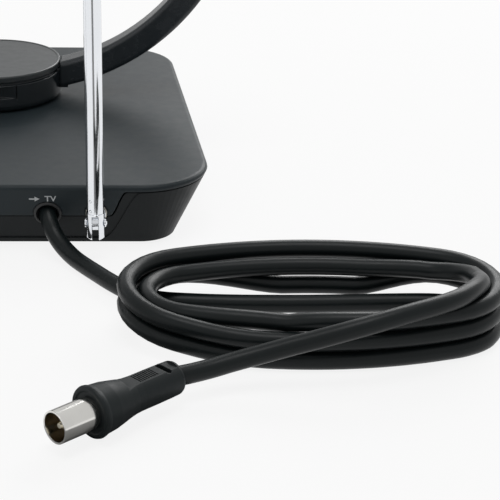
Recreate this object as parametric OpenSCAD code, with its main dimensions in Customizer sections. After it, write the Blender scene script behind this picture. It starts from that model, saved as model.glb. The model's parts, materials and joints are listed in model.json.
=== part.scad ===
// Indoor television antenna: a weighted base, a turning hub with an oval loop,
// two folding telescopic rods on the rear wall, and a coiled coaxial lead with its plug.
// Millimetres. +Z is up, the front faces -Y, and the origin is on the table in the middle of the footprint.

/* [Base] */
// Width of the base at its rear edge
base_rear_w = 167.4; // [152:0.1:182]
// Angle by which each side runs in towards the front
base_taper = 5.4; // [3:0.2:7]
// Distance from the hub's axis to the rear edge
base_rear = 101.4; // [98:0.1:105]
// Distance from the hub's axis to the front edge
base_front = 63.6; // [60:0.1:76]
// Height of the top face above the table
base_h = 23.7; // [22.5:0.1:25.5]
// Radius of the base's upright corners
base_corner_r = 24; // [18:1:28]
// Radius of the upright corners at the table
base_foot_r = 12; // [10:1:20]
// Wall thickness of both covers
base_wall = 2.2; // [1.8:0.1:2.6]
// How far the rear wall runs in towards the table
rear_undercut = 6; // [5:0.2:7.4]
// How far the side walls run in towards the table
side_undercut = 12.2; // [9:0.2:14]
// Width of the rounded edge round the top face
edge_round = 1.4; // [1.2:0.1:1.8]
// Height of the parting line along the sides and front
seam_z = 21.3; // [20:0.1:21.6]
// Height of the parting line at the middle of the rear wall
tab_seam_z = 11.7; // [11:0.1:12.4]
// Half width of the lowered part of the parting line
tab_half = 47.7; // [46:0.1:50]
// Width over which the parting line climbs at each side of the lowered part
tab_climb = 5.6; // [4:0.2:8]
// Depth of the recessed field round the lowered part
field_depth = 0.35; // [0.2:0.05:0.5]
// Width of the open parting line
seam_gap = 0.4; // [0.3:0.05:0.6]

/* [Feet and screws] */
// Diameter of a rubber foot
foot_d = 12; // [9:0.5:14]
// Height by which a foot stands out
foot_h = 1; // [0.8:0.1:1.4]
// Depth of the recess that holds a foot
foot_recess = 0.6; // [0.4:0.1:0.8]
// Diameter of a housing screw's thread
screw_d = 2.9; // [2.5:0.1:3.3]
// Diameter of a screw boss
boss_d = 8; // [7:0.2:9]

/* [Hub] */
// Radius of the hub's disc
hub_r = 26; // [24:0.5:28]
// Height of the hub above the base
hub_h = 14.2; // [13.6:0.1:15.5]
// Thickness of the disc on top
cap_t = 2.4; // [2:0.1:2.8]
// Running gap between the hub and the base
hub_gap = 0.3; // [0.2:0.05:0.4]
// Radius of the spigot that the hub turns on
spigot_r = 6; // [5:0.1:7]
// Radial clearance of every running fit
fit = 0.05; // [0.03:0.01:0.08]

/* [Loop] */
// Radial width of the loop's band
loop_w = 9.8; // [9:0.1:10.2]
// Depth of the loop's band along Y
loop_t = 10; // [9.5:0.1:12]
// Outer radius of the loop's round ends
loop_r = 88; // [80:1:92]
// Half length of the loop's straight runs
loop_half = 9; // [4:0.5:12]
// Radius of the band's edges
loop_edge = 1.4; // [1:0.1:2.2]
// Thickness of the tongues that hold the loop's ends in the hub
loop_tongue_t = 9; // [6:0.5:9.4]
// Gap between the loop's ends inside the hub
loop_split = 9; // [7:0.5:11]

/* [Rods] */
// Distance of each rod from the middle of the base
rod_x = 43; // [41:0.5:45]
// Height of the rods' folding pins
rod_z = 13; // [12.6:0.1:13.4]
// Distance of the folding pins behind the rear edge
rod_back = 5.8; // [5.6:0.1:6.4]
// How far the fork's ears reach below the folding pin
ear_drop = 6.4; // [4.5:0.1:6.4]
// Outer diameter of the thickest tube
tube_d = 5.8; // [5.4:0.1:6.2]
// Wall thickness of the tubes
tube_wall = 0.35; // [0.3:0.05:0.4]
// Length of the thickest tube
tube_len = 165; // [120:1:200]
// Height by which each thinner tube stands out when closed
tube_step = 4; // [3:0.5:6]
// Height of the rod's tip
tip_h = 6; // [4:0.5:8]
// Diameter of the folding pin
pin_d = 2; // [1.8:0.1:2.2]
// Thickness of the tongue between the clevis ears
tongue_t = 2; // [1.6:0.1:2.2]

/* [Cable and plug] */
// Diameter of the coaxial cable
cable_d = 5.8; // [5:0.1:6]
// Distance of the cable outlet from the middle of the base
outlet_x = 26.4; // [25:0.2:28]
// Diameter of the plug's metal sleeve
plug_shell_d = 9.5; // [9.3:0.1:9.7]
// Diameter of the plug's moulded flange
plug_flange_d = 15.4; // [14:0.2:15.6]
// Length of the metal sleeve in front of the moulding
plug_shell_len = 12; // [9:0.5:12.5]
// Diameter of the centre pin
plug_pin_d = 2.4; // [2.2:0.1:2.6]

/* [Hidden] */
$fn = 64;

base_z = foot_h;
floor_z = base_z + base_wall;
ceiling_z = base_h - base_wall;
belt_z = base_h - edge_round;
corner_steps = 16;
slope = atan(rear_undercut / (belt_z - base_z));

// Y of the rear wall's outer face at height z
function wall_y(z) = base_rear - rear_undercut * (belt_z - z) / (belt_z - base_z);
// Half width of the top outline at distance back from the rear edge
function half_w(back) = base_rear_w / 2 - back * tan(base_taper);

post_z = 10;
screw_x = 54;
screw_rear_y = 62;
screw_front_y = -38;
SCREW_AT = [[screw_x, screw_rear_y], [-screw_x, screw_rear_y], [screw_x, screw_front_y], [-screw_x, screw_front_y]];
foot_x = 48;
foot_rear_y = 80;
foot_front_y = -46;
head_r = screw_d;
head_t = 1.6;

board_w = 56;
board_l = 26;
board_t = 1.6;
board_x = -8;
board_y = 73;
board_z = floor_z + 2.6;
board_top = board_z + board_t;
board_post_d = 4;
ballast_w = 84;
ballast_l = 60;
ballast_t = 4;
ballast_y = 10;

hub_z = base_h + hub_gap;
hub_top = base_h + hub_h;
cap_z = hub_top - cap_t;
spigot_z = ceiling_z - 1.7;
washer_r = spigot_r + 4;
washer_t = 1.6;
body_r = hub_r + 0.4;
loop_z = base_h + 2.2;
slot_side = 0.15;
tongue_low = loop_z + 1.6;
tongue_high = cap_z - 0.1;
hub_screw_r = 1.9;

rod_y = base_rear + rod_back;
bush_face = wall_y(rod_z) + 0.1;
bush_flange_t = 0.5;
bush_r = 2.9;
bush_flange_r = 3.6;
stud_r = 2;
collar_y = bush_face + bush_flange_t + 0.2;
ear_r = tube_d / 2 + 0.2;
tongue_r = 2.6;
collar_end = rod_y - ear_drop - 0.35;
slot_top = tongue_r + 0.35;
ear_gap = 0.15;
tube_z = rod_z + slot_top + 0.7;
neck_h = 8;
inner_z = tube_z + neck_h + 1;
top_z = tube_z + tube_len;
TUBE_D = [for (i = [0:3]) tube_d - i * 2 * (tube_wall + fit)];

outlet_z = 12.8;
cable_r = cable_d / 2;
grommet_r = cable_r + 1.9;
grommet_neck_r = cable_r + 1.2;
lead_z = 14.6;
// Distance of the footprint's middle behind the hub's axis
middle_y = (rod_y + ear_r - base_front) / 2;
plug_rear = [-68.8, 209.6];
plug_turn = 42;
plug_axis_z = 7.8;
plug_len = 43.4;
shell_root_d = plug_shell_d - 1.1;
root_bore_r = shell_root_d / 2 - 0.5;
root_deep = 7;

// Cable from inside the base through the outlet to the table and under the coil's end,
// measured from the hub's axis
LEAD = [
    [-26.4, 88.4, 14.6],
    [-26.4, 91.2, 14.6],
    [-26.4, 94.0, 14.2],
    [-26.4, 96.6, 13.4],
    [-26.6, 99.2, 12.4],
    [-27.3, 101.8, 10.5],
    [-28.7, 104.2, 8.0],
    [-30.8, 107.4, 5.8],
    [-33.3, 111.0, 4.2],
    [-36.3, 115.4, 3.2],
    [-39.8, 120.6, 2.9],
    [-44.2, 127.2, 2.9],
    [-48.6, 133.6, 2.9],
    [-53.4, 139.6, 2.9],
    [-58.8, 144.9, 2.9]
];
// Cable from the coil's top turn over its front to the plug
TAIL = [
    [-163.6, 163, 16.6],
    [-162.4, 170, 18.8],
    [-159, 177.4, 20.3],
    [-153.7, 184.2, 20.6],
    [-146.6, 189.6, 20.6],
    [-138.6, 193.6, 20.2],
    [-131.1, 196.6, 19.4],
    [-124.4, 198.6, 18.3],
    [-117.6, 199.7, 16.8],
    [-110.2, 200.1, 14.8],
    [-102, 200.5, 12.7],
    [-93.8, 201.2, 10.6],
    [-86, 202.6, 9],
    [-79.4, 205, 8.1],
    [-73.8, 207.4, 7.8],
    [plug_rear[0], plug_rear[1], plug_axis_z]
];
coil_x = -111.5;
coil_y = 162;
coil_long = 57.3;
coil_wide = 28;
coil_end_r = 22;
coil_h = 17.8;

// Arc of points round centre c, from angle a0 to angle a1
function arc(c, r, a0, a1) =
    [for (i = [0:corner_steps]) let (a = a0 + (a1 - a0) * i / corner_steps) c + r * [cos(a), sin(a)]];

// Half width of a corner's centre line at y, for an outline set in by side with corner radius r
function corner_x(y, side, r) = half_w(base_rear - y) - side - r / cos(base_taper);

// Outline of the base, set in by side and by end, with corner radius r
function outline(side, end, r) =
    let (
        back = base_rear - end - r,
        front = -base_front + end * 0.6 + r,
        xb = corner_x(back, side, r),
        xf = corner_x(front, side, r)
    )
    concat(
        arc([xb, back], r, -base_taper, 90),
        arc([-xb, back], r, 90, 180 + base_taper),
        arc([-xf, front], r, 180 + base_taper, 270),
        arc([xf, front], r, 270, 360 - base_taper)
    );

// Closed solid through outlines of equal length, one at each height
module loft(heights, outlines) {
    n = len(outlines[0]);
    m = len(heights);
    points = [for (k = [0:m - 1]) for (p = outlines[k]) [p[0], p[1], heights[k]]];
    walls = [for (k = [0:m - 2]) for (i = [0:n - 1])
        [k * n + i, (k + 1) * n + i, (k + 1) * n + (i + 1) % n, k * n + (i + 1) % n]];
    low = [[for (i = [0:n - 1]) i]];
    high = [[for (i = [n - 1:-1:0]) (m - 1) * n + i]];
    polyhedron(points = points, faces = concat(walls, low, high), convexity = 4);
}

// The base's outer form, moved inwards by g on every side
module base_form(g) {
    r = base_corner_r - g / 2;
    belt = belt_z - 0.9 * g;
    rise = base_h - g - belt;
    EDGE = [0, 30, 60, 90];
    loft(
        concat([base_z + g], [for (a = EDGE) belt + rise * sin(a)]),
        concat(
            [outline(side_undercut + g, rear_undercut + g, base_foot_r - g / 2)],
            [for (a = EDGE) let (set = edge_round * (1 - cos(a))) outline(set + g, set + g, r - set / 2)]
        )
    );
}

// Curve that climbs smoothly from a low point to a high one, in x and z
function climb(x0, z0, x1, z1) =
    [for (i = [0:12]) let (t = i / 12) [x0 + (x1 - x0) * t, z0 + (z1 - z0) * t * t * (3 - 2 * t)]];

// Flat shape between the climbing curve on the right, its mirror image, and a level top at z
module tab_shape(x0, z0, x1, z1, z) {
    right = climb(x0, z0, x1, z1);
    left = [for (i = [len(right) - 1:-1:0]) [-right[i][0], right[i][1]]];
    polygon(concat(right, [[x1, z], [-x1, z]], left));
}

// Stands a flat shape up along the rear wall, reaching depth into the base
module across_rear(depth) {
    translate([0, base_rear + 10, 0])
        rotate([90, 0, 0])
            linear_extrude(height = depth + 10)
                children();
}

// Space above the parting line, moved up by lift; the rear tab reaches down between the rods
module above_seam(lift) {
    translate([-base_rear_w, -base_front - 20, seam_z + lift])
        cube([base_rear_w * 2, base_front + base_rear + 40, base_h]);
    across_rear(40)
        tab_shape(tab_half - lift, tab_seam_z + lift, tab_half + tab_climb - lift, seam_z + lift, seam_z + 1);
}

// Places its child on the rear wall with local Z along the wall's outward normal
module on_wall(x, z) {
    translate([x, wall_y(z), z])
        rotate([-90 - slope, 0, 0])
            children();
}

// Points a cylinder made along Z towards +Y, starting at y
module along_y(x, y, z) {
    translate([x, y, z])
        rotate([-90, 0, 0])
            children();
}

// Holes through the rear wall for the two rod bushes and the cable
module wall_holes() {
    for (s = [-1, 1]) {
        along_y(s * rod_x, bush_face, rod_z)
            cylinder(r = bush_flange_r + 0.6, h = 12);
        along_y(s * rod_x, bush_face - 20, rod_z)
            cylinder(r = bush_r, h = 30);
    }
    on_wall(-outlet_x, outlet_z)
        translate([0, 0, -8])
            cylinder(r = grommet_neck_r, h = 16);
    on_wall(-outlet_x, outlet_z)
        translate([0, 0, -0.9])
            cylinder(r = grommet_r + 0.1, h = 12);
}

// Solid pads that carry the rod bushes inside the rear wall
module bush_pads() {
    for (s = [-1, 1])
        along_y(s * rod_x, bush_face - 6, rod_z) {
            cylinder(r = bush_flange_r + 1.4, h = 4);
            cylinder(r = bush_flange_r + 0.5, h = 6);
        }
}

module top_cover() {
    color("#4a4f52")
    difference() {
        union() {
            intersection() {
                difference() {
                    base_form(0);
                    base_form(base_wall);
                }
                above_seam(seam_gap / 2);
            }
            intersection() {
                bush_pads();
                above_seam(seam_gap / 2);
            }
            for (p = SCREW_AT)
                translate([p[0], p[1], post_z])
                    cylinder(d = boss_d, h = ceiling_z - post_z + 0.2);
            translate([0, 0, ceiling_z - 1.2])
                cylinder(r = washer_r + 3, h = 1.4);
            for (a = [45:90:315])
                rotate([0, 0, a])
                    translate([washer_r + 2.5, -0.8, ceiling_z - 4])
                        cube([24, 1.6, 4.2]);
        }
        for (p = SCREW_AT)
            translate([p[0], p[1], post_z - 1])
                cylinder(d = screw_d, h = 9);
        cylinder(r = spigot_r + fit, h = 60);
        translate([0, 0, ceiling_z - 6])
            cylinder(r = washer_r + 0.6, h = 6);
        wall_holes();
    }
}

module bottom_cover() {
    color("#2a2e30")
    difference() {
        union() {
            difference() {
                difference() {
                    base_form(0);
                    base_form(base_wall);
                }
                above_seam(-seam_gap / 2);
                tab_field();
            }
            difference() {
                bush_pads();
                above_seam(-seam_gap / 2);
            }
            for (p = SCREW_AT)
                translate([p[0], p[1], floor_z - 0.4])
                    cylinder(d = boss_d, h = post_z - floor_z + 0.4);
            for (x = [board_x - board_w / 2 + 4, board_x + board_w / 2 - 4])
                for (y = [board_y - board_l / 2 + 4, board_y + board_l / 2 - 4])
                    translate([x, y, floor_z - 0.4])
                        cylinder(d = board_post_d, h = board_z - floor_z + 0.4);
            for (s = [-1, 1])
                translate([s * (ballast_w / 2 + 1) - 0.8, ballast_y - 20, floor_z - 0.4])
                    cube([1.6, 40, 4.4]);
        }
        for (p = SCREW_AT) {
            translate([p[0], p[1], base_z - 1])
                cylinder(d = screw_d + 0.5, h = post_z);
            translate([p[0], p[1], base_z - 1])
                cylinder(r = head_r + 0.4, h = 1 + head_t + 1.2);
        }
        for (s = [-1, 1])
            for (y = [foot_rear_y, foot_front_y])
                translate([s * foot_x, y, base_z - 1])
                    cylinder(d = foot_d, h = 1 + foot_recess);
        wall_holes();
    }
}

// Shallow field on the rear wall, below and beside the lowered parting line
module tab_field() {
    intersection() {
        across_rear(20)
            tab_shape(tab_half - 2.5, base_z + 1.6, tab_half + tab_climb + 5.5, seam_z, seam_z + 1);
        difference() {
            base_form(-1);
            base_form(field_depth);
        }
    }
}

module ballast_plate() {
    color("#7d8083")
    translate([-ballast_w / 2, ballast_y - ballast_l / 2, floor_z])
        cube([ballast_w, ballast_l, ballast_t]);
}

module circuit_board() {
    color("#2f6b3c")
    translate([board_x - board_w / 2, board_y - board_l / 2, board_z])
        cube([board_w, board_l, board_t]);
}

module balun_core() {
    color("#3a3a3c")
    translate([board_x + 12, board_y, board_top])
        difference() {
            translate([-5, -3.5, 0])
                cube([10, 7, 6.6]);
            for (s = [-1, 1])
                translate([s * 2.5, -5, 3.3])
                    rotate([-90, 0, 0])
                        cylinder(d = 2.6, h = 10);
        }
}

module cable_clamp() {
    color("#303234")
    difference() {
        translate([-outlet_x - 7, board_y - 1, board_top])
            cube([14, 6, lead_z + cable_r + 1.6 - board_top]);
        along_y(-outlet_x, board_y - 5, lead_z)
            cylinder(r = cable_r, h = 20);
    }
}

module inner_lead() {
    color("#1d1e20")
    along_y(-outlet_x, board_y - 3, lead_z)
        cylinder(r = cable_r, h = LEAD[0][1] - board_y + 3);
}

// Rubber ring whose groove holds both covers; its mouth opens like a funnel
module cable_grommet() {
    inside = base_wall + 0.4;
    color("#161718")
    on_wall(-outlet_x, outlet_z)
        rotate_extrude()
            polygon([
                [cable_r + 0.05, -inside - 1.2], [grommet_r - 0.4, -inside - 1.2], [grommet_r - 0.4, -inside],
                [grommet_neck_r, -inside], [grommet_neck_r, -0.9], [grommet_r, -0.9],
                [grommet_r, 0.2], [grommet_r - 0.4, 0.6], [grommet_r - 0.9, 0.6],
                [grommet_r - 1.7, -0.5], [cable_r + 0.05, -1.2]
            ]);
}

module housing_screws() {
    color("#9a9da0")
    for (p = SCREW_AT)
        translate([p[0], p[1], 0]) {
            translate([0, 0, base_z + 1.2])
                cylinder(r = head_r, h = head_t);
            translate([0, 0, base_z + 1.2])
                cylinder(d = screw_d - 0.1, h = 14);
        }
}

module foot(x, y) {
    color("#1b1b1c")
    translate([x, y, 0])
        rotate_extrude()
            polygon([
                [0, 0], [foot_d / 2 - 0.9, 0], [foot_d / 2 - 0.1, 0.6],
                [foot_d / 2 - 0.1, base_z + foot_recess], [0, base_z + foot_recess]
            ]);
}

// Points of the hub's side, from its foot on the base up to the groove under the disc
HUB_SIDE = concat(
    [for (a = [0:15:90]) [body_r - 2.2 + 2.2 * sin(a), hub_z + 2.4 * (1 - cos(a))]],
    [[body_r - 0.2, cap_z - 1.2], [hub_r - 0.7, cap_z - 0.9], [hub_r - 0.7, cap_z]]
);

module hub_body() {
    window_w = 19.4;
    window_h = 4.6;
    window_top = cap_z - 1.5;
    color("#26292b")
    difference() {
        union() {
            rotate_extrude($fn = 96)
                polygon(concat([[0, hub_z]], HUB_SIDE, [[0, cap_z]]));
            translate([0, 0, spigot_z])
                cylinder(r = spigot_r, h = hub_z - spigot_z + 0.5);
        }
        translate([-hub_r - 5, -loop_tongue_t / 2 - slot_side, tongue_low])
            cube([2 * hub_r + 10, loop_tongue_t + 2 * slot_side, loop_w + 5]);
        translate([0, 0, spigot_z - 1])
            cylinder(r = hub_screw_r + 0.05, h = 12);
        translate([-window_w / 2, hub_r - 2, window_top - window_h])
            cube([window_w, 6, window_h]);
        for (s = [-1, 1])
            translate([s * (window_w / 2 + 1.1) - 0.25, hub_r - 3.4, window_top - window_h - 0.6])
                cube([0.5, 6, window_h + 1]);
    }
}

module hub_cap() {
    color("#3b4043")
    translate([0, 0, cap_z])
        rotate_extrude($fn = 96)
            polygon([
                [0, 0], [hub_r - 0.3, 0], [hub_r, 0.3], [hub_r, cap_t - 0.5],
                [hub_r - 0.2, cap_t - 0.1], [hub_r - 0.5, cap_t], [hub_r - 1, cap_t],
                [hub_r - 1.3, cap_t - 0.2], [0, cap_t - 0.2]
            ]);
}

module hub_screw() {
    color("#9a9da0")
    union() {
        translate([0, 0, spigot_z - washer_t - 2.2])
            cylinder(r = 3.8, h = 2.2);
        translate([0, 0, spigot_z - washer_t - 1])
            cylinder(r = hub_screw_r, h = tongue_low - spigot_z + washer_t + 0.9);
    }
}

module hub_washer() {
    color("#a5a8aa")
    translate([0, 0, spigot_z - washer_t])
        difference() {
            cylinder(r = washer_r, h = washer_t);
            translate([0, 0, -1])
                cylinder(r = hub_screw_r + 0.1, h = washer_t + 2);
        }
}

module hub_spring_washer() {
    color("#c0c2c4")
    translate([0, 0, spigot_z])
        difference() {
            cylinder(r = washer_r - 0.4, h = ceiling_z - spigot_z - 0.3);
            translate([0, 0, -1])
                cylinder(r = spigot_r + 0.2, h = 6);
        }
}

// The band's section in the plane of radius and Y, with rounded edges
module band_section() {
    x0 = loop_r - loop_w;
    y0 = -loop_t / 2;
    translate([x0 + loop_edge, y0])
        square([loop_w - 2 * loop_edge, loop_t]);
    translate([x0, y0 + loop_edge])
        square([loop_w, loop_t - 2 * loop_edge]);
    for (x = [x0 + loop_edge, loop_r - loop_edge])
        for (y = [y0 + loop_edge, -y0 - loop_edge])
            translate([x, y])
                circle(r = loop_edge, $fn = 24);
}

// Oval loop standing in the XZ plane; it is open at the hub, where two tongues hold its ends
module loop_ring() {
    mid_z = loop_z + loop_r;
    bottom_w = loop_w + 1;
    color("#6a6f72") {
        difference() {
            translate([0, 0, mid_z])
                rotate([90, 0, 0])
                    for (s = [0, 1])
                        rotate([0, 0, s * 180])
                            translate([loop_half, 0, 0]) {
                                rotate([0, 0, -90])
                                    rotate_extrude(angle = 180, $fn = 144)
                                        band_section();
                                rotate([90, 0, -90])
                                    linear_extrude(height = 2 * loop_half)
                                        band_section();
                            }
            translate([0, 0, loop_z - 1])
                cylinder(r = body_r + 0.1, h = bottom_w + 3, $fn = 96);
        }
        for (s = [0, 180])
            rotate([0, 0, s])
                translate([loop_split / 2, -loop_tongue_t / 2, tongue_low])
                    cube([hub_r + 3 - loop_split / 2, loop_tongue_t, tongue_high - tongue_low]);
    }
}

module loop_keeper() {
    color("#303234")
    difference() {
        translate([-loop_split / 2 + 0.1, -loop_tongue_t / 2, tongue_low])
            cube([loop_split - 0.2, loop_tongue_t, tongue_high - tongue_low]);
        translate([0, 0, tongue_low - 1])
            cylinder(r = hub_screw_r + 0.4, h = 4);
    }
}

module bush(x) {
    color("#b9a36a")
    along_y(x, bush_face - 6, rod_z)
        difference() {
            union() {
                cylinder(r = bush_r - 0.02, h = 6);
                translate([0, 0, 6])
                    cylinder(r = bush_flange_r, h = bush_flange_t);
            }
            translate([0, 0, -1])
                cylinder(r = stud_r + fit, h = 12);
        }
}

// Swivel stud: a shaft in the bush, a collar, and a flat tongue round the folding pin
module stud(x) {
    color("#c4c6c8")
    difference() {
        union() {
            along_y(x, bush_face - 11, rod_z)
                cylinder(r = stud_r, h = collar_y - bush_face + 11.2);
            along_y(x, collar_y, rod_z)
                cylinder(r = tube_d / 2 + 0.3, h = collar_end - collar_y);
            translate([x - tongue_t / 2, collar_end - 0.1, rod_z - tongue_r])
                cube([tongue_t, rod_y - collar_end + 0.1, 2 * tongue_r]);
            translate([x - tongue_t / 2, rod_y, rod_z])
                rotate([0, 90, 0])
                    cylinder(r = tongue_r, h = tongue_t);
        }
        translate([x - 10, rod_y, rod_z])
            rotate([0, 90, 0])
                cylinder(d = pin_d + 2 * fit, h = 20);
    }
}

module stud_nut(x) {
    color("#9a9da0")
    along_y(x, bush_face - 6.3 - 2.4, rod_z)
        difference() {
            cylinder(r = 3.6, h = 2.4, $fn = 6);
            translate([0, 0, -1])
                cylinder(r = stud_r + 0.02, h = 5, $fn = 48);
        }
}

// Fork at the rod's foot: two long ears round the pin and a neck inside the first tube
module clevis(x) {
    color("#c9cbcd")
    translate([x, rod_y, rod_z])
        difference() {
            union() {
                intersection() {
                    translate([0, 0, -ear_drop - 1])
                        cylinder(r = ear_r, h = ear_drop + 1 + tube_z - rod_z);
                    union() {
                        translate([-ear_r - 1, -ear_r - 1, ear_r - ear_drop])
                            cube([2 * ear_r + 2, 2 * ear_r + 2, 20]);
                        translate([-ear_r - 1, 0, ear_r - ear_drop])
                            rotate([0, 90, 0])
                                cylinder(r = ear_r, h = 2 * ear_r + 2);
                    }
                    translate([0, 0, ear_r + 1 - ear_drop])
                        sphere(r = ear_r + 1);
                }
                cylinder(r = ear_r, h = tube_z - rod_z);
                cylinder(r = tube_d / 2 - tube_wall - 0.05, h = tube_z - rod_z + neck_h);
            }
            translate([-tongue_t / 2 - ear_gap, -10, -10])
                cube([tongue_t + 2 * ear_gap, 20, 10 + slot_top]);
            translate([-10, 0, 0])
                rotate([0, 90, 0])
                    cylinder(d = pin_d + 0.04, h = 20);
        }
}

// Riveted pin with a domed head at each end
module pivot_pin(x) {
    half = ear_r + 0.05;
    color("#d6d8da")
    translate([x, rod_y, rod_z])
        rotate([0, 90, 0])
            rotate_extrude()
                polygon([
                    [0, -half - 0.8], [0.9, -half - 0.75], [1.5, -half - 0.4], [1.7, -half],
                    [pin_d / 2, -half], [pin_d / 2, half],
                    [1.7, half], [1.5, half + 0.4], [0.9, half + 0.75], [0, half + 0.8]
                ]);
}

// Tube number i of a rod, 0 the thickest; the first one has two rings of crimp dimples
module tube(x, i) {
    outer = TUBE_D[i] / 2;
    low = i == 0 ? tube_z : inner_z + i;
    high = top_z + i * tube_step;
    color("#d9dbdd")
    translate([x, rod_y, 0])
        difference() {
            translate([0, 0, low])
                cylinder(r = outer, h = high - low);
            translate([0, 0, low - 1])
                cylinder(r = outer - tube_wall, h = high - low + (i == 3 ? -2 : 2));
            if (i == 0)
                for (z = [1.2, 4.7])
                    for (a = [57, 177, 297])
                        rotate([0, 0, a])
                            translate([outer + 0.45, 0, tube_z + z])
                                sphere(r = 0.75, $fn = 20);
        }
}

module tip(x) {
    low = top_z + 3 * tube_step + 0.3;
    color("#d9dbdd")
    translate([x, rod_y, low])
        rotate_extrude()
            polygon([
                [0, 0], [tube_d / 2 - 0.4, 0], [tube_d / 2, 0.4], [tube_d / 2, tip_h - 1.6],
                [tube_d / 2 - 0.5, tip_h - 0.6], [tube_d / 2 - 1.4, tip_h], [0, tip_h]
            ]);
}

// Unit tangent of a route at point i
function route_dir(route, i) =
    let (a = route[max(i - 1, 0)], b = route[min(i + 1, len(route) - 1)])
    (b - a) / norm(b - a);

// Ring of points round a route's point, kept level by a sideways axis in the XY plane
function route_ring(p, d, r, sides) =
    let (side = cross(d, [0, 0, 1]) / norm(cross(d, [0, 0, 1])), up = cross(side, d))
    [for (k = [0:sides - 1]) p + r * (cos(360 * k / sides) * side + sin(360 * k / sides) * up)];

module swept_tube(route, r, sides) {
    n = len(route);
    rings = [for (i = [0:n - 1]) each route_ring(route[i], route_dir(route, i), r, sides)];
    walls = [for (i = [0:n - 2]) for (k = [0:sides - 1])
        [i * sides + k, i * sides + (k + 1) % sides, (i + 1) * sides + (k + 1) % sides, (i + 1) * sides + k]];
    first = [[for (k = [sides - 1:-1:0]) k]];
    last = [[for (k = [0:sides - 1]) (n - 1) * sides + k]];
    polyhedron(points = rings, faces = concat(walls, first, last), convexity = 6);
}

module cable_lead() {
    color("#1d1e20")
    swept_tube(LEAD, cable_r, 12);
}

module cable_tail() {
    color("#1d1e20")
    swept_tube(TAIL, cable_r, 12);
}

// Points on an arc round centre c, from angle a0 to angle a1 in n steps, without the last
function bend(c, r, a0, a1, n) =
    [for (i = [0:n - 1]) let (a = a0 + (a1 - a0) * i / n) c + r * [cos(a), sin(a)]];

// Four-arc oval round the coil's centre line, moved outwards by o
module oval(o) {
    r = coil_end_r;
    e = coil_long - r;
    side_r = (e * e + coil_wide * coil_wide - r * r) / (2 * (coil_wide - r));
    drop = side_r - coil_wide;
    t = atan(e / drop);
    polygon(concat(
        bend([0, -drop], side_r + o, 90 - t, 90 + t, 14),
        bend([-e, 0], r + o, 90 + t, 270 - t, 14),
        bend([0, drop], side_r + o, 270 - t, 270 + t, 14),
        bend([e, 0], r + o, 270 + t, 450 - t, 14)
    ));
}

module cable_coil() {
    color("#1d1e20")
    translate([coil_x, coil_y, 0])
        linear_extrude(height = coil_h)
            difference() {
                oval(cable_r + 0.1);
                oval(-cable_r - 5.6);
            }
}

// Places the plug: local +Z runs from the cable end towards the tip
module plug_place() {
    translate([plug_rear[0], plug_rear[1], plug_axis_z])
        rotate([0, 90, plug_turn])
            children();
}

module plug_body() {
    front = plug_len - plug_shell_len;
    flange = plug_flange_d / 2;
    flat = 4.45;
    color("#2b2d30")
    plug_place()
        difference() {
            rotate_extrude()
                polygon([
                    [0, 0], [4.2, 0], [4.8, 0.3], [5.1, 1], [5.2, 4], [5.25, 10], [5.25, 15],
                    [5.4, 17.4], [5.8, 19.8], [6.4, 22.6], [6.95, 25.4],
                    [flange - 0.4, front - 2.2], [flange - 0.1, front - 1.4], [flange, front - 0.8],
                    [flange - 0.2, front - 0.2], [flange - 0.7, front],
                    [flange - 1.4, front], [flange - 1.7, front - 0.3], [0, front - 0.3]
                ]);
            translate([-flat - 4, -4, 1.2])
                cube([4, 8, 19]);
            for (i = [0:8])
                translate([-flat - 1, -2.2, 8 + i * 0.8])
                    cube([1.35, 4.4, 0.4]);
            translate([-flat - 1, -2.4, 3.8])
                cube([2.3, 4.8, 1.8]);
            for (y = [-2.4, 2.4])
                translate([-flat - 1, y, 4.7])
                    rotate([0, 90, 0])
                        cylinder(r = 0.9, h = 2.3, $fn = 24);
            translate([0, 0, -1])
                cylinder(r = cable_r + 0.05, h = 1.5);
            translate([0, 0, front - 8])
                cylinder(d = shell_root_d, h = 9);
        }
}

// Metal sleeve, a little thinner where the moulding holds it
module plug_shell() {
    bore = plug_shell_d / 2 - 0.5;
    front = plug_len - plug_shell_len;
    color("#c9cbce")
    plug_place()
        difference() {
            union() {
                translate([0, 0, front + 0.3])
                    cylinder(d = plug_shell_d, h = plug_shell_len - 0.3);
                translate([0, 0, front - 8])
                    cylinder(d = shell_root_d, h = 9);
            }
            translate([0, 0, front - root_deep])
                cylinder(r = root_bore_r, h = root_deep + 2);
            translate([0, 0, front + 0.9])
                cylinder(r = bore, h = plug_shell_len + 1);
        }
}

module plug_insulator() {
    front = plug_len - plug_shell_len;
    color("#b48a5a")
    plug_place()
        difference() {
            union() {
                translate([0, 0, front - root_deep])
                    cylinder(r = root_bore_r - 0.02, h = root_deep + 1);
                translate([0, 0, front + 0.92])
                    cylinder(d = plug_shell_d - 1.1, h = 0.8);
            }
            translate([0, 0, front - root_deep - 1])
                cylinder(d = plug_pin_d + 0.04, h = 12);
        }
}

module plug_pin() {
    low = plug_len - plug_shell_len - root_deep + 0.1;
    color("#d8c48a")
    plug_place()
        translate([0, 0, low])
            rotate_extrude()
                polygon([
                    [0, 0], [plug_pin_d / 2, 0], [plug_pin_d / 2, plug_shell_len + 4.4],
                    [plug_pin_d / 2 - 0.5, plug_shell_len + 5.4], [0, plug_shell_len + 5.4]
                ]);
}

// The frame's origin is the middle of the footprint; the modules measure Y from the hub's axis
module placed() {
    translate([0, -middle_y, 0])
        children();
}

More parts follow.
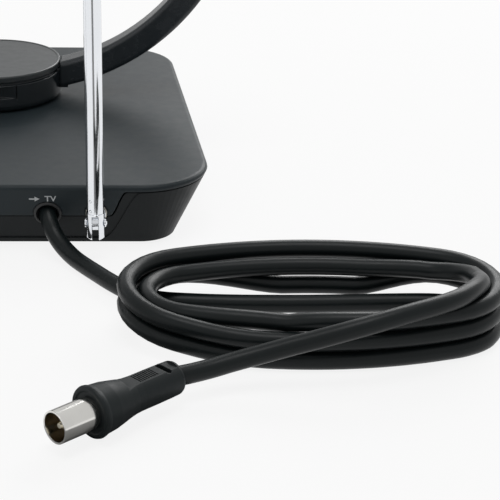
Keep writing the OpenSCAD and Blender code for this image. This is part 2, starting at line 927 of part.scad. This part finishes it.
placed() top_cover();
placed() bottom_cover();
placed() ballast_plate();
placed() circuit_board();
placed() balun_core();
placed() cable_clamp();
placed() cable_grommet();
placed() inner_lead();
placed() housing_screws();
placed() foot(-foot_x, foot_rear_y);  // foot_rear_left
placed() foot(foot_x, foot_rear_y);  // foot_rear_right
placed() foot(-foot_x, foot_front_y);  // foot_front_left
placed() foot(foot_x, foot_front_y);  // foot_front_right
placed() hub_body();
placed() hub_cap();
placed() hub_screw();
placed() hub_washer();
placed() hub_spring_washer();
placed() loop_ring();
placed() loop_keeper();
placed() bush(-rod_x);  // left_bush
placed() stud(-rod_x);  // left_stud
placed() stud_nut(-rod_x);  // left_stud_nut
placed() clevis(-rod_x);  // left_clevis
placed() pivot_pin(-rod_x);  // left_pivot_pin
placed() tube(-rod_x, 0);  // left_tube_1
placed() tube(-rod_x, 1);  // left_tube_2
placed() tube(-rod_x, 2);  // left_tube_3
placed() tube(-rod_x, 3);  // left_tube_4
placed() tip(-rod_x);  // left_tip
placed() bush(rod_x);  // right_bush
placed() stud(rod_x);  // right_stud
placed() stud_nut(rod_x);  // right_stud_nut
placed() clevis(rod_x);  // right_clevis
placed() pivot_pin(rod_x);  // right_pivot_pin
placed() tube(rod_x, 0);  // right_tube_1
placed() tube(rod_x, 1);  // right_tube_2
placed() tube(rod_x, 2);  // right_tube_3
placed() tube(rod_x, 3);  // right_tube_4
placed() tip(rod_x);  // right_tip
placed() cable_lead();
placed() cable_coil();
placed() cable_tail();
placed() plug_body();
placed() plug_shell();
placed() plug_insulator();
placed() plug_pin();
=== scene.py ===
"""Indoor television antenna: camera, cable, small pieces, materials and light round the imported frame."""

import json
import math

import bpy
from mathutils import Matrix, Vector


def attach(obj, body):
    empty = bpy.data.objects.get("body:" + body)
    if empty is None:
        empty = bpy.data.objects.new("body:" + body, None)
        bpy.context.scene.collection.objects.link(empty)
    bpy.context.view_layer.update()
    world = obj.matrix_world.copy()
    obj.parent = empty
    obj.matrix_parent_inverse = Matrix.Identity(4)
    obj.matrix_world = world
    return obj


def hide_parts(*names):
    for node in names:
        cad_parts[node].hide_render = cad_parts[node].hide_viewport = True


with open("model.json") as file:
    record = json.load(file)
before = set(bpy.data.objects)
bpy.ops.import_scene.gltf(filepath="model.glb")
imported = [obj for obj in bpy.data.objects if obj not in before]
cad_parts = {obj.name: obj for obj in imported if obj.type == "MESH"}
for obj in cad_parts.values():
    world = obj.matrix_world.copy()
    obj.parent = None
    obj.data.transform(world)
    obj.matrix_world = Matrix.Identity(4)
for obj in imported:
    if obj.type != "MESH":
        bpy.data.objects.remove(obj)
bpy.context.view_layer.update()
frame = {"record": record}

MM = 0.001
IMAGE_PX = 500
WORLD_SOFT = 0.3
WORLD_GLOSS = 0.7

# The frame's origin lies this far behind the hub's axis, in mm. The cable's points are measured from the axis
ORIGIN_Y = 23.35

# Camera, fitted to the photograph: place in mm, then angles in degrees and focal length in pixels
CAMERA_AT = (-64.4, 634.9 - ORIGIN_Y, 229.7)
CAMERA_YAW = 3.35
CAMERA_PITCH = 23.23
CAMERA_ROLL = 1.31
FOCAL_PX = 1688.4
SENSOR_MM = 36.0

# Cable: points listed in mm, the solids' own but for the tail's first point
CABLE_D = 5.8
PARTS = 4
LEAD = [
    (-26.4, 94.0, 14.2),
    (-26.4, 96.6, 13.4),
    (-26.6, 99.2, 12.4),
    (-27.3, 101.8, 10.5),
    (-28.7, 104.2, 8.0),
    (-30.8, 107.4, 5.8),
    (-33.3, 111.0, 4.2),
    (-36.3, 115.4, 3.2),
    (-39.8, 120.6, 2.9),
    (-44.2, 127.2, 2.9),
    (-48.6, 133.6, 2.9),
    (-53.4, 139.6, 2.9),
    (-58.8, 144.6, 2.9),
    (-65.2, 147.8, 2.9),
    (-72.4, 149.0, 2.9),
]
TAIL = [
    (-163.0, 163.0, 16.9),
    (-162.4, 170.0, 18.8),
    (-159.0, 177.4, 20.3),
    (-153.7, 184.2, 20.6),
    (-146.6, 189.6, 20.6),
    (-138.6, 193.6, 20.2),
    (-131.1, 196.6, 19.4),
    (-124.4, 198.6, 18.3),
    (-117.6, 199.7, 16.8),
    (-110.2, 200.1, 14.8),
    (-102.0, 200.5, 12.7),
    (-93.8, 201.2, 10.6),
    (-86.0, 202.6, 9.0),
    (-79.4, 205.0, 8.1),
    (-73.8, 207.4, 7.8),
    (-68.8, 209.6, 7.8),
]

# Coil: its middle, the oval's half axes and end radius, and how its turns are stacked, in mm
COIL_X = -111.5
COIL_Y = 162.0
COIL_LONG = 57.3
COIL_WIDE = 28.0
COIL_END_R = 22.0
END_R_SHARE = 0.85
LAYER = 6.0
FLOOR_Z = CABLE_D / 2
TURNS = 3
STEPS = 72

# How far the last turn lies inside the others, and how much lower it rests there
NESTED = 6.4
NEST_DROP = 2.4

# On the side towards the base: how far in and down the first turn lies, and how far down the last one
LOW_INSET = 6.4
LOW_SAG = 3.9
TOP_SAG = 1.0

# Where changes happen, as start and length in fractions of a turn
RISE = (0.4, 0.21)
NEST = (0.26, 0.17)
LOW_SAG_IN = (0.69, 0.12)
TOP_SAG_IN = (0.56, 0.12)
SAG_OUT = (0.9, 0.1)

# The cable leaves the last bend for the tail at this share of it, in so many steps, rising by this power
LEAVE_AT = 0.46
LEAVE_STEPS = 10
LEAVE_RISE = 1.4

# First strand, as x and y: inside the others and round the -X bend, to where it joins them, in turns
FIRST_BEND = [
    (-80.0, 149.8),
    (-90.0, 150.4),
    (-100.0, 150.6),
    (-111.0, 150.6),
    (-122.0, 150.3),
    (-132.0, 149.9),
    (-141.0, 149.6),
    (-150.5, 149.6),
    (-156.5, 150.7),
    (-161.7, 153.7),
    (-165.7, 158.4),
    (-167.7, 164.1),
    (-167.3, 170.1),
    (-163.3, 177.2),
    (-156.6, 181.8),
]
FIRST_JOIN = 0.21

# Rear wall above the outlet, in mm: height and depth that it spans, and the place of its upper edge
WALL_RISE = 21.3
WALL_REACH = 6.0
WALL_TOP_Y = 101.4
WALL_TOP_Z = 22.3

# Stage, in metres: the floor's half width and depth, its colour, the share of plain white, and the card
FLOOR_HALF = 6.0
FLOOR_DROP = 0.0002
FLOOR_WHITE = 0.93
SEEN_SHARE = 0.86
CARD_CORNERS = [(-0.062, 0.13, -0.0001), (-0.03, 0.13, -0.0001), (0.03, 0.7, -0.0001), (-0.2, 0.7, -0.0001)]
CARD_SHADE = 0.3

# Surfaces: colour, roughness and what differs from the usual
SURFACES = {
    "base_top": ((0.02, 0.028, 0.032), 0.4,
                 {"specular": 0.2, "vary": 0.05, "rough_vary": 0.04,
                  "grain": 2600, "bump": 0.2, "edge": 0.0004}),
    "base_bottom": ((0.006, 0.0085, 0.0095), 0.42,
                    {"specular": 0.2, "vary": 0.08, "grain": 2600, "bump": 0.2, "edge": 0.0004}),
    "ballast": ((0.3, 0.31, 0.32), 0.4, {"metal": 1.0, "vary": 0.2}),
    "board": ((0.02, 0.12, 0.045), 0.35, {"vary": 0.1}),
    "ferrite": ((0.03, 0.03, 0.032), 0.7, {"vary": 0.2}),
    "hub_black": ((0.011, 0.015, 0.018), 0.2,
                  {"vary": 0.08, "rough_vary": 0.04, "bump": 0.03, "edge": 0.0003, "coat": 0.2}),
    "hub_grey": ((0.03, 0.036, 0.038), 0.34, {"vary": 0.05, "bump": 0.1, "edge": 0.0003}),
    "loop_grey": ((0.015, 0.02, 0.024), 0.26, {"vary": 0.05, "bump": 0.05, "edge": 0.0012}),
    "rubber": ((0.009, 0.0095, 0.0105), 0.5, {"vary": 0.1, "bump": 0.15, "edge": 0.0003}),
    "cable": ((0.0055, 0.0085, 0.009), 0.36,
              {"specular": 0.22, "vary": 0.1, "vary_scale": 70, "rough_vary": 0.04,
               "grain": 900, "bump": 0.02}),
    "steel": ((0.5, 0.51, 0.52), 0.3, {"metal": 1.0}),
    "brass": ((0.46, 0.44, 0.39), 0.3, {"metal": 1.0, "edge": 0.0002}),
    "chrome": ((0.82, 0.84, 0.87), 0.1,
               {"metal": 1.0, "vary": 0.03, "rough_vary": 0.03, "bump": 0.02,
                "marks": 0.04, "edge": 0.00015}),
    "plug_grip": ((0.012, 0.016, 0.017), 0.5, {"specular": 0.22, "vary": 0.1, "bump": 0.25, "edge": 0.00035}),
    "nickel": ((0.74, 0.73, 0.7), 0.15,
               {"metal": 1.0, "vary": 0.06, "rough_vary": 0.05, "marks": 0.08, "edge": 0.0002}),
    "insulator": ((0.24, 0.15, 0.06), 0.4, {"vary": 0.2, "edge": 0.0002}),
    "contact": ((0.8, 0.74, 0.6), 0.2, {"metal": 1.0, "edge": 0.0001}),
    "print": ((0.6, 0.62, 0.63), 0.5, {"vary": 0.06}),
}
SCRATCH_SCALE = (3000, 3000, 60)
SHADE_FINER = 4
COAT_ROUGH = 0.15

# Area lamps, in metres and watts: place, size and power, all turned to one point
LAMP_TARGET = (-0.05, 0.08, 0.02)
LAMPS = {
    "key": ((-0.55, -1.0, 0.75), (1.0, 0.6), 9),
    "top": ((-0.1, 0.25, 1.3), (0.7, 0.5), 4),
    "fill": ((0.8, 1.0, 0.7), (0.7, 0.7), 0.7),
}


def smooth(t):
    t = min(max(t, 0.0), 1.0)
    return t * t * (3 - 2 * t)


def step_in(s, change):
    """Share of a change done at fraction s of a turn."""
    start, length = change
    return smooth((s - start) / length)


def oval(inset):
    """Four-arc oval: end radius, end centre's offset, side radius, side centre's offset, side half angle."""
    end_r = COIL_END_R - END_R_SHARE * inset
    long, wide = COIL_LONG - inset, COIL_WIDE - inset
    end_x = long - end_r
    side_r = (end_x ** 2 + wide ** 2 - end_r ** 2) / (2 * (wide - end_r))
    drop = side_r - wide
    return end_r, end_x, side_r, drop, math.atan2(end_x, drop)


def oval_point(s, inset):
    """Point of the coil's oval at fraction s of a turn that starts with the -X bend, on the base's side."""
    end_r, end_x, side_r, drop, half = oval(inset)
    bend = (math.pi - 2 * half) * end_r
    run = 2 * half * side_r
    d = (s % 1.0) * 2 * (bend + run)
    if d < bend:
        a = 1.5 * math.pi - half - d / end_r
        return COIL_X - end_x + end_r * math.cos(a), COIL_Y + end_r * math.sin(a)
    d -= bend
    if d < run:
        a = math.pi / 2 + half - d / side_r
        return COIL_X + side_r * math.cos(a), COIL_Y - drop + side_r * math.sin(a)
    d -= run
    if d < bend:
        a = math.pi / 2 - half - d / end_r
        return COIL_X + end_x + end_r * math.cos(a), COIL_Y + end_r * math.sin(a)
    d -= bend
    a = half - math.pi / 2 - d / side_r
    return COIL_X + side_r * math.cos(a), COIL_Y + drop + side_r * math.sin(a)


def through(points, parts):
    """Points of a smooth line through the given ones, with parts pieces between two of them."""
    pts = [Vector(p) for p in points]
    out = []
    for i in range(len(pts) - 1):
        a = pts[max(i - 1, 0)]
        b, c = pts[i], pts[i + 1]
        d = pts[min(i + 2, len(pts) - 1)]
        for k in range(parts):
            t = k / parts
            out.append(0.5 * (2 * b + (c - a) * t + (2 * a - 5 * b + 4 * c - d) * t * t
                              + (3 * b - a - 3 * c + d) * t ** 3))
    out.append(pts[-1])
    return out


def coil_points():
    """Stacked turns that climb one layer each; towards the base the lower ones lie further in."""
    join = (*oval_point(FIRST_JOIN, 0), FLOOR_Z)
    first_strand = [LEAD[-1]] + [(x, y, FLOOR_Z) for x, y in FIRST_BEND] + [join]
    points = through(first_strand, PARTS)[1:-1]
    for turn in range(TURNS):
        first, last = turn == 0, turn == TURNS - 1
        for i in range(STEPS):
            s = i / STEPS
            if first and s < FIRST_JOIN:
                continue
            inset = 0.0
            z = FLOOR_Z + LAYER * turn
            sag = step_in(s, LOW_SAG_IN if first else TOP_SAG_IN) * (1 - step_in(s, SAG_OUT))
            if last:
                inset = NESTED * step_in(s, NEST)
                rolled = LAYER - math.sqrt(max(LAYER ** 2 - inset ** 2, 0.0))
                z -= min(NEST_DROP, rolled) + TOP_SAG * sag
            else:
                z += LAYER * step_in(s, RISE)
            if first:
                inset = LOW_INSET * sag
                z -= LOW_SAG * sag
            points.append(Vector((*oval_point(s, inset), z)))
    z_from = points[-1].z
    end_r, _, side_r, _, half = oval(NESTED)
    bend = (math.pi - 2 * half) * end_r
    whole = 2 * bend + 4 * half * side_r
    for i in range(LEAVE_STEPS):
        t = i / LEAVE_STEPS
        x, y = oval_point(t * LEAVE_AT * bend / whole, NESTED)
        points.append(Vector((x, y, z_from + (TAIL[0][2] - z_from) * t ** LEAVE_RISE)))
    return points


def make_camera():
    yaw, pitch, roll = (math.radians(a) for a in (CAMERA_YAW, CAMERA_PITCH, CAMERA_ROLL))
    ahead = Vector((-math.sin(yaw) * math.cos(pitch), -math.cos(yaw) * math.cos(pitch), -math.sin(pitch)))
    right = Vector((-math.cos(yaw), math.sin(yaw), 0))
    up = right.cross(ahead)
    turned_right = math.cos(roll) * right + math.sin(roll) * up
    turned_up = -math.sin(roll) * right + math.cos(roll) * up
    data = bpy.data.cameras.new("camera")
    data.sensor_width = SENSOR_MM
    data.lens = FOCAL_PX / IMAGE_PX * SENSOR_MM
    data.clip_start = 0.01
    data.clip_end = 20
    camera = bpy.data.objects.new("camera", data)
    bpy.context.scene.collection.objects.link(camera)
    turn = Matrix((turned_right, turned_up, -ahead)).transposed().to_4x4()
    camera.matrix_world = Matrix.Translation(Vector(CAMERA_AT) * MM) @ turn
    bpy.context.scene.camera = camera


def link(name, data, material=None):
    obj = bpy.data.objects.new(name, data)
    bpy.context.scene.collection.objects.link(obj)
    if material:
        data.materials.append(material)
    return obj


def noise(nodes, links, coords, scale, detail=3.0, rough=0.5):
    tex = nodes.new("ShaderNodeTexNoise")
    tex.inputs["Scale"].default_value = scale
    tex.inputs["Detail"].default_value = detail
    tex.inputs["Roughness"].default_value = rough
    links.new(coords.outputs["Object"], tex.inputs["Vector"])
    return tex


def ramp(nodes, links, source, low, high, start=0.3, end=0.7):
    node = nodes.new("ShaderNodeValToRGB")
    node.color_ramp.elements[0].position = start
    node.color_ramp.elements[0].color = (*low, 1) if isinstance(low, tuple) else (low, low, low, 1)
    node.color_ramp.elements[1].position = end
    node.color_ramp.elements[1].color = (*high, 1) if isinstance(high, tuple) else (high, high, high, 1)
    links.new(source, node.inputs["Fac"])
    return node.outputs["Color"]


def surface(name, color, rough, metal=0.0, vary=0.12, vary_scale=60.0, rough_vary=0.06, grain=2200.0,
            bump=0.08, depth=0.00004, edge=0.0, coat=0.0, specular=0.5, marks=0.0):
    """Procedural surface: colour that drifts a little, grain in the gloss and the height, and soft edges."""
    mat = bpy.data.materials.new(name)
    mat.use_nodes = True
    nodes, links = mat.node_tree.nodes, mat.node_tree.links
    shader = nodes["Principled BSDF"]
    coords = nodes.new("ShaderNodeTexCoord")
    drift = noise(nodes, links, coords, vary_scale, 4)
    dark = tuple(c * (1 - vary) for c in color)
    light = tuple(min(c * (1 + vary), 1) for c in color)
    base = ramp(nodes, links, drift.outputs["Fac"], dark, light)
    fine = noise(nodes, links, coords, grain, 2)
    links.new(base, shader.inputs["Base Color"])
    shade = noise(nodes, links, coords, vary_scale * SHADE_FINER, 5, 0.6)
    low, high = max(rough - rough_vary, 0.02), min(rough + rough_vary, 1)
    links.new(ramp(nodes, links, shade.outputs["Fac"], low, high), shader.inputs["Roughness"])
    height = nodes.new("ShaderNodeBump")
    height.inputs["Strength"].default_value = bump
    height.inputs["Distance"].default_value = depth
    links.new(fine.outputs["Fac"], height.inputs["Height"])
    last = height
    if marks:
        lines = nodes.new("ShaderNodeTexNoise")
        lines.inputs["Scale"].default_value = 1.0
        lines.inputs["Detail"].default_value = 2
        mapping = nodes.new("ShaderNodeMapping")
        mapping.inputs["Scale"].default_value = SCRATCH_SCALE
        links.new(coords.outputs["Object"], mapping.inputs["Vector"])
        links.new(mapping.outputs["Vector"], lines.inputs["Vector"])
        scratch = nodes.new("ShaderNodeBump")
        scratch.inputs["Strength"].default_value = marks
        scratch.inputs["Distance"].default_value = depth
        links.new(lines.outputs["Fac"], scratch.inputs["Height"])
        links.new(height.outputs["Normal"], scratch.inputs["Normal"])
        last = scratch
    if edge:
        soft = nodes.new("ShaderNodeBevel")
        soft.samples = 6
        soft.inputs["Radius"].default_value = edge
        links.new(soft.outputs["Normal"], height.inputs["Normal"])
    links.new(last.outputs["Normal"], shader.inputs["Normal"])
    shader.inputs["Metallic"].default_value = metal
    shader.inputs["Specular IOR Level"].default_value = specular
    shader.inputs["Coat Weight"].default_value = coat
    shader.inputs["Coat Roughness"].default_value = COAT_ROUGH
    return mat


def make_materials():
    return {name: surface(name, color, rough, **more) for name, (color, rough, more) in SURFACES.items()}


def dress_nodes(mats):
    for row in frame["record"]["subparts"]:
        obj = bpy.data.objects.get(row["node"])
        if obj is None:
            continue
        obj.data.materials.clear()
        obj.data.materials.append(mats[row["material_slot"]])


def make_cord(mats):
    first = through(LEAD, PARTS)
    last = through(TAIL, PARTS)
    middle = coil_points()
    shift = Vector((0, ORIGIN_Y, 0))
    points = [p - shift for p in first + middle + last]
    data = bpy.data.curves.new("antenna_cable", "CURVE")
    data.dimensions = "3D"
    data.bevel_depth = CABLE_D / 2 * MM
    data.bevel_resolution = 7
    data.use_fill_caps = True
    spline = data.splines.new("POLY")
    spline.points.add(len(points) - 1)
    for point, place in zip(spline.points, points):
        point.co = (*(place * MM), 1)
    cable = link("antenna_cable", data, mats["cable"])
    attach(cable, "base")
    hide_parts("cable_lead", "cable_coil", "cable_tail")


def make_label(mats):
    """Small printed arrow and two letters above the cable outlet, on the leaning rear wall."""
    label_x, label_z, letter = -25.4, 18.7, 3.2
    lean = math.atan(WALL_REACH / WALL_RISE)
    wall_y = WALL_TOP_Y - ORIGIN_Y - WALL_REACH * (WALL_TOP_Z - label_z) / WALL_RISE
    turn = Matrix(((-1, 0, 0), (0, math.sin(lean), math.cos(lean)), (0, math.cos(lean), -math.sin(lean))))
    place = Matrix.Translation(Vector((label_x, wall_y, label_z)) * MM) @ turn.transposed().to_4x4()
    font = bpy.data.curves.new("label_letters", "FONT")
    font.body = "TV"
    font.size = letter * MM
    font.extrude = 0.03 * MM
    font.offset = 0.05 * MM
    font.align_x = "CENTER"
    font.align_y = "CENTER"
    words = link("label_letters", font, mats["print"])
    words.matrix_world = place @ Matrix.Translation(Vector((2.2, 0, 0.03)) * MM)
    tail, neck, tip, stem, barb = -2.4, -0.5, 1.1, 0.28, 1.0
    half = [(tail, stem), (neck, stem), (neck, barb)]
    outline = [(x, -y) for x, y in half] + [(tip, 0)] + half[::-1]
    thick = 0.05
    count = len(outline)
    verts = [(x * MM, y * MM, z * MM) for z in (0, thick) for x, y in outline]
    faces = [list(range(count))[::-1], [count + i for i in range(count)]]
    faces += [[i, (i + 1) % count, count + (i + 1) % count, count + i] for i in range(count)]
    mesh = bpy.data.meshes.new("label_arrow")
    mesh.from_pydata(verts, [], faces)
    arrow = link("label_arrow", mesh, mats["print"])
    arrow.matrix_world = place @ Matrix.Translation(Vector((-2.6, 0, 0.01)) * MM)
    for piece in (words, arrow):
        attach(piece, "base")


def camera_white(mat, strength, share):
    """Adds plain white for camera, mirror and glass rays to a matte white material."""
    nodes, links = mat.node_tree.nodes, mat.node_tree.links
    out = nodes["Material Output"]
    shader = nodes["Principled BSDF"]
    path = nodes.new("ShaderNodeLightPath")
    seen = nodes.new("ShaderNodeMath")
    seen.operation = "MAXIMUM"
    links.new(path.outputs["Is Camera Ray"], seen.inputs[0])
    links.new(path.outputs["Is Glossy Ray"], seen.inputs[1])
    seen_all = nodes.new("ShaderNodeMath")
    seen_all.operation = "MAXIMUM"
    links.new(seen.outputs[0], seen_all.inputs[0])
    links.new(path.outputs["Is Transmission Ray"], seen_all.inputs[1])
    amount = nodes.new("ShaderNodeMath")
    amount.operation = "MULTIPLY"
    amount.inputs[1].default_value = share
    links.new(seen_all.outputs[0], amount.inputs[0])
    white = nodes.new("ShaderNodeEmission")
    white.inputs["Strength"].default_value = strength
    mix = nodes.new("ShaderNodeMixShader")
    links.new(amount.outputs[0], mix.inputs["Fac"])
    links.new(shader.outputs[0], mix.inputs[1])
    links.new(white.outputs[0], mix.inputs[2])
    links.new(mix.outputs[0], out.inputs["Surface"])


def make_stage():
    half = FLOOR_HALF
    mesh = bpy.data.meshes.new("floor")
    corners = [(x * half, y * half, 0) for x, y in ((-1, -1), (1, -1), (1, 1), (-1, 1))]
    mesh.from_pydata(corners, [], [(0, 1, 2, 3)])
    mat = bpy.data.materials.new("floor_white")
    mat.use_nodes = True
    shader = mat.node_tree.nodes["Principled BSDF"]
    shader.inputs["Base Color"].default_value = (FLOOR_WHITE, FLOOR_WHITE, FLOOR_WHITE, 1)
    shader.inputs["Roughness"].default_value = 0.9
    shader.inputs["Specular IOR Level"].default_value = 0.0
    camera_white(mat, 1.0, SEEN_SHARE)
    floor = link("floor", mesh, mat)
    floor.location.z = -FLOOR_DROP


def make_card(name, corners, shade):
    """Dark card that only mirror-like surfaces show, so that metal has contrast."""
    mesh = bpy.data.meshes.new(name)
    mesh.from_pydata(corners, [], [tuple(range(len(corners)))])
    mat = bpy.data.materials.new(name)
    mat.use_nodes = True
    shader = mat.node_tree.nodes["Principled BSDF"]
    shader.inputs["Base Color"].default_value = (shade, shade, shade, 1)
    shader.inputs["Roughness"].default_value = 0.9
    card = link(name, mesh, mat)
    card.visible_camera = False
    card.visible_diffuse = False
    card.visible_shadow = False
    card.visible_transmission = False


def make_world():
    world = bpy.data.worlds.new("studio")
    world.use_nodes = True
    bpy.context.scene.world = world
    nodes, links = world.node_tree.nodes, world.node_tree.links
    back = nodes["Background"]
    back.inputs["Color"].default_value = (1, 1, 1, 1)
    path = nodes.new("ShaderNodeLightPath")
    level = None
    for ray, change in (("Is Camera Ray", 1 - WORLD_SOFT), ("Is Transmission Ray", 1 - WORLD_SOFT),
                        ("Is Glossy Ray", WORLD_GLOSS - WORLD_SOFT)):
        part = nodes.new("ShaderNodeMath")
        part.operation = "MULTIPLY_ADD"
        links.new(path.outputs[ray], part.inputs[0])
        part.inputs[1].default_value = change
        part.inputs[2].default_value = WORLD_SOFT
        if level:
            links.new(level, part.inputs[2])
        level = part.outputs[0]
    links.new(level, back.inputs["Strength"])


def area_lamp(name, place, target, size, power):
    data = bpy.data.lights.new(name, "AREA")
    data.shape = "RECTANGLE"
    data.size, data.size_y = size
    data.energy = power
    lamp = link(name, data)
    lamp.location = place
    lamp.rotation_euler = (Vector(target) - Vector(place)).to_track_quat("-Z", "Y").to_euler()


def make_lights():
    for name, (place, size, power) in LAMPS.items():
        area_lamp(name, place, LAMP_TARGET, size, power)


make_camera()
materials = make_materials()
make_cord(materials)
dress_nodes(materials)
make_label(materials)
make_stage()
make_card("dark_card", CARD_CORNERS, CARD_SHADE)
make_world()
make_lights()
bpy.context.scene.view_settings.view_transform = "Standard"
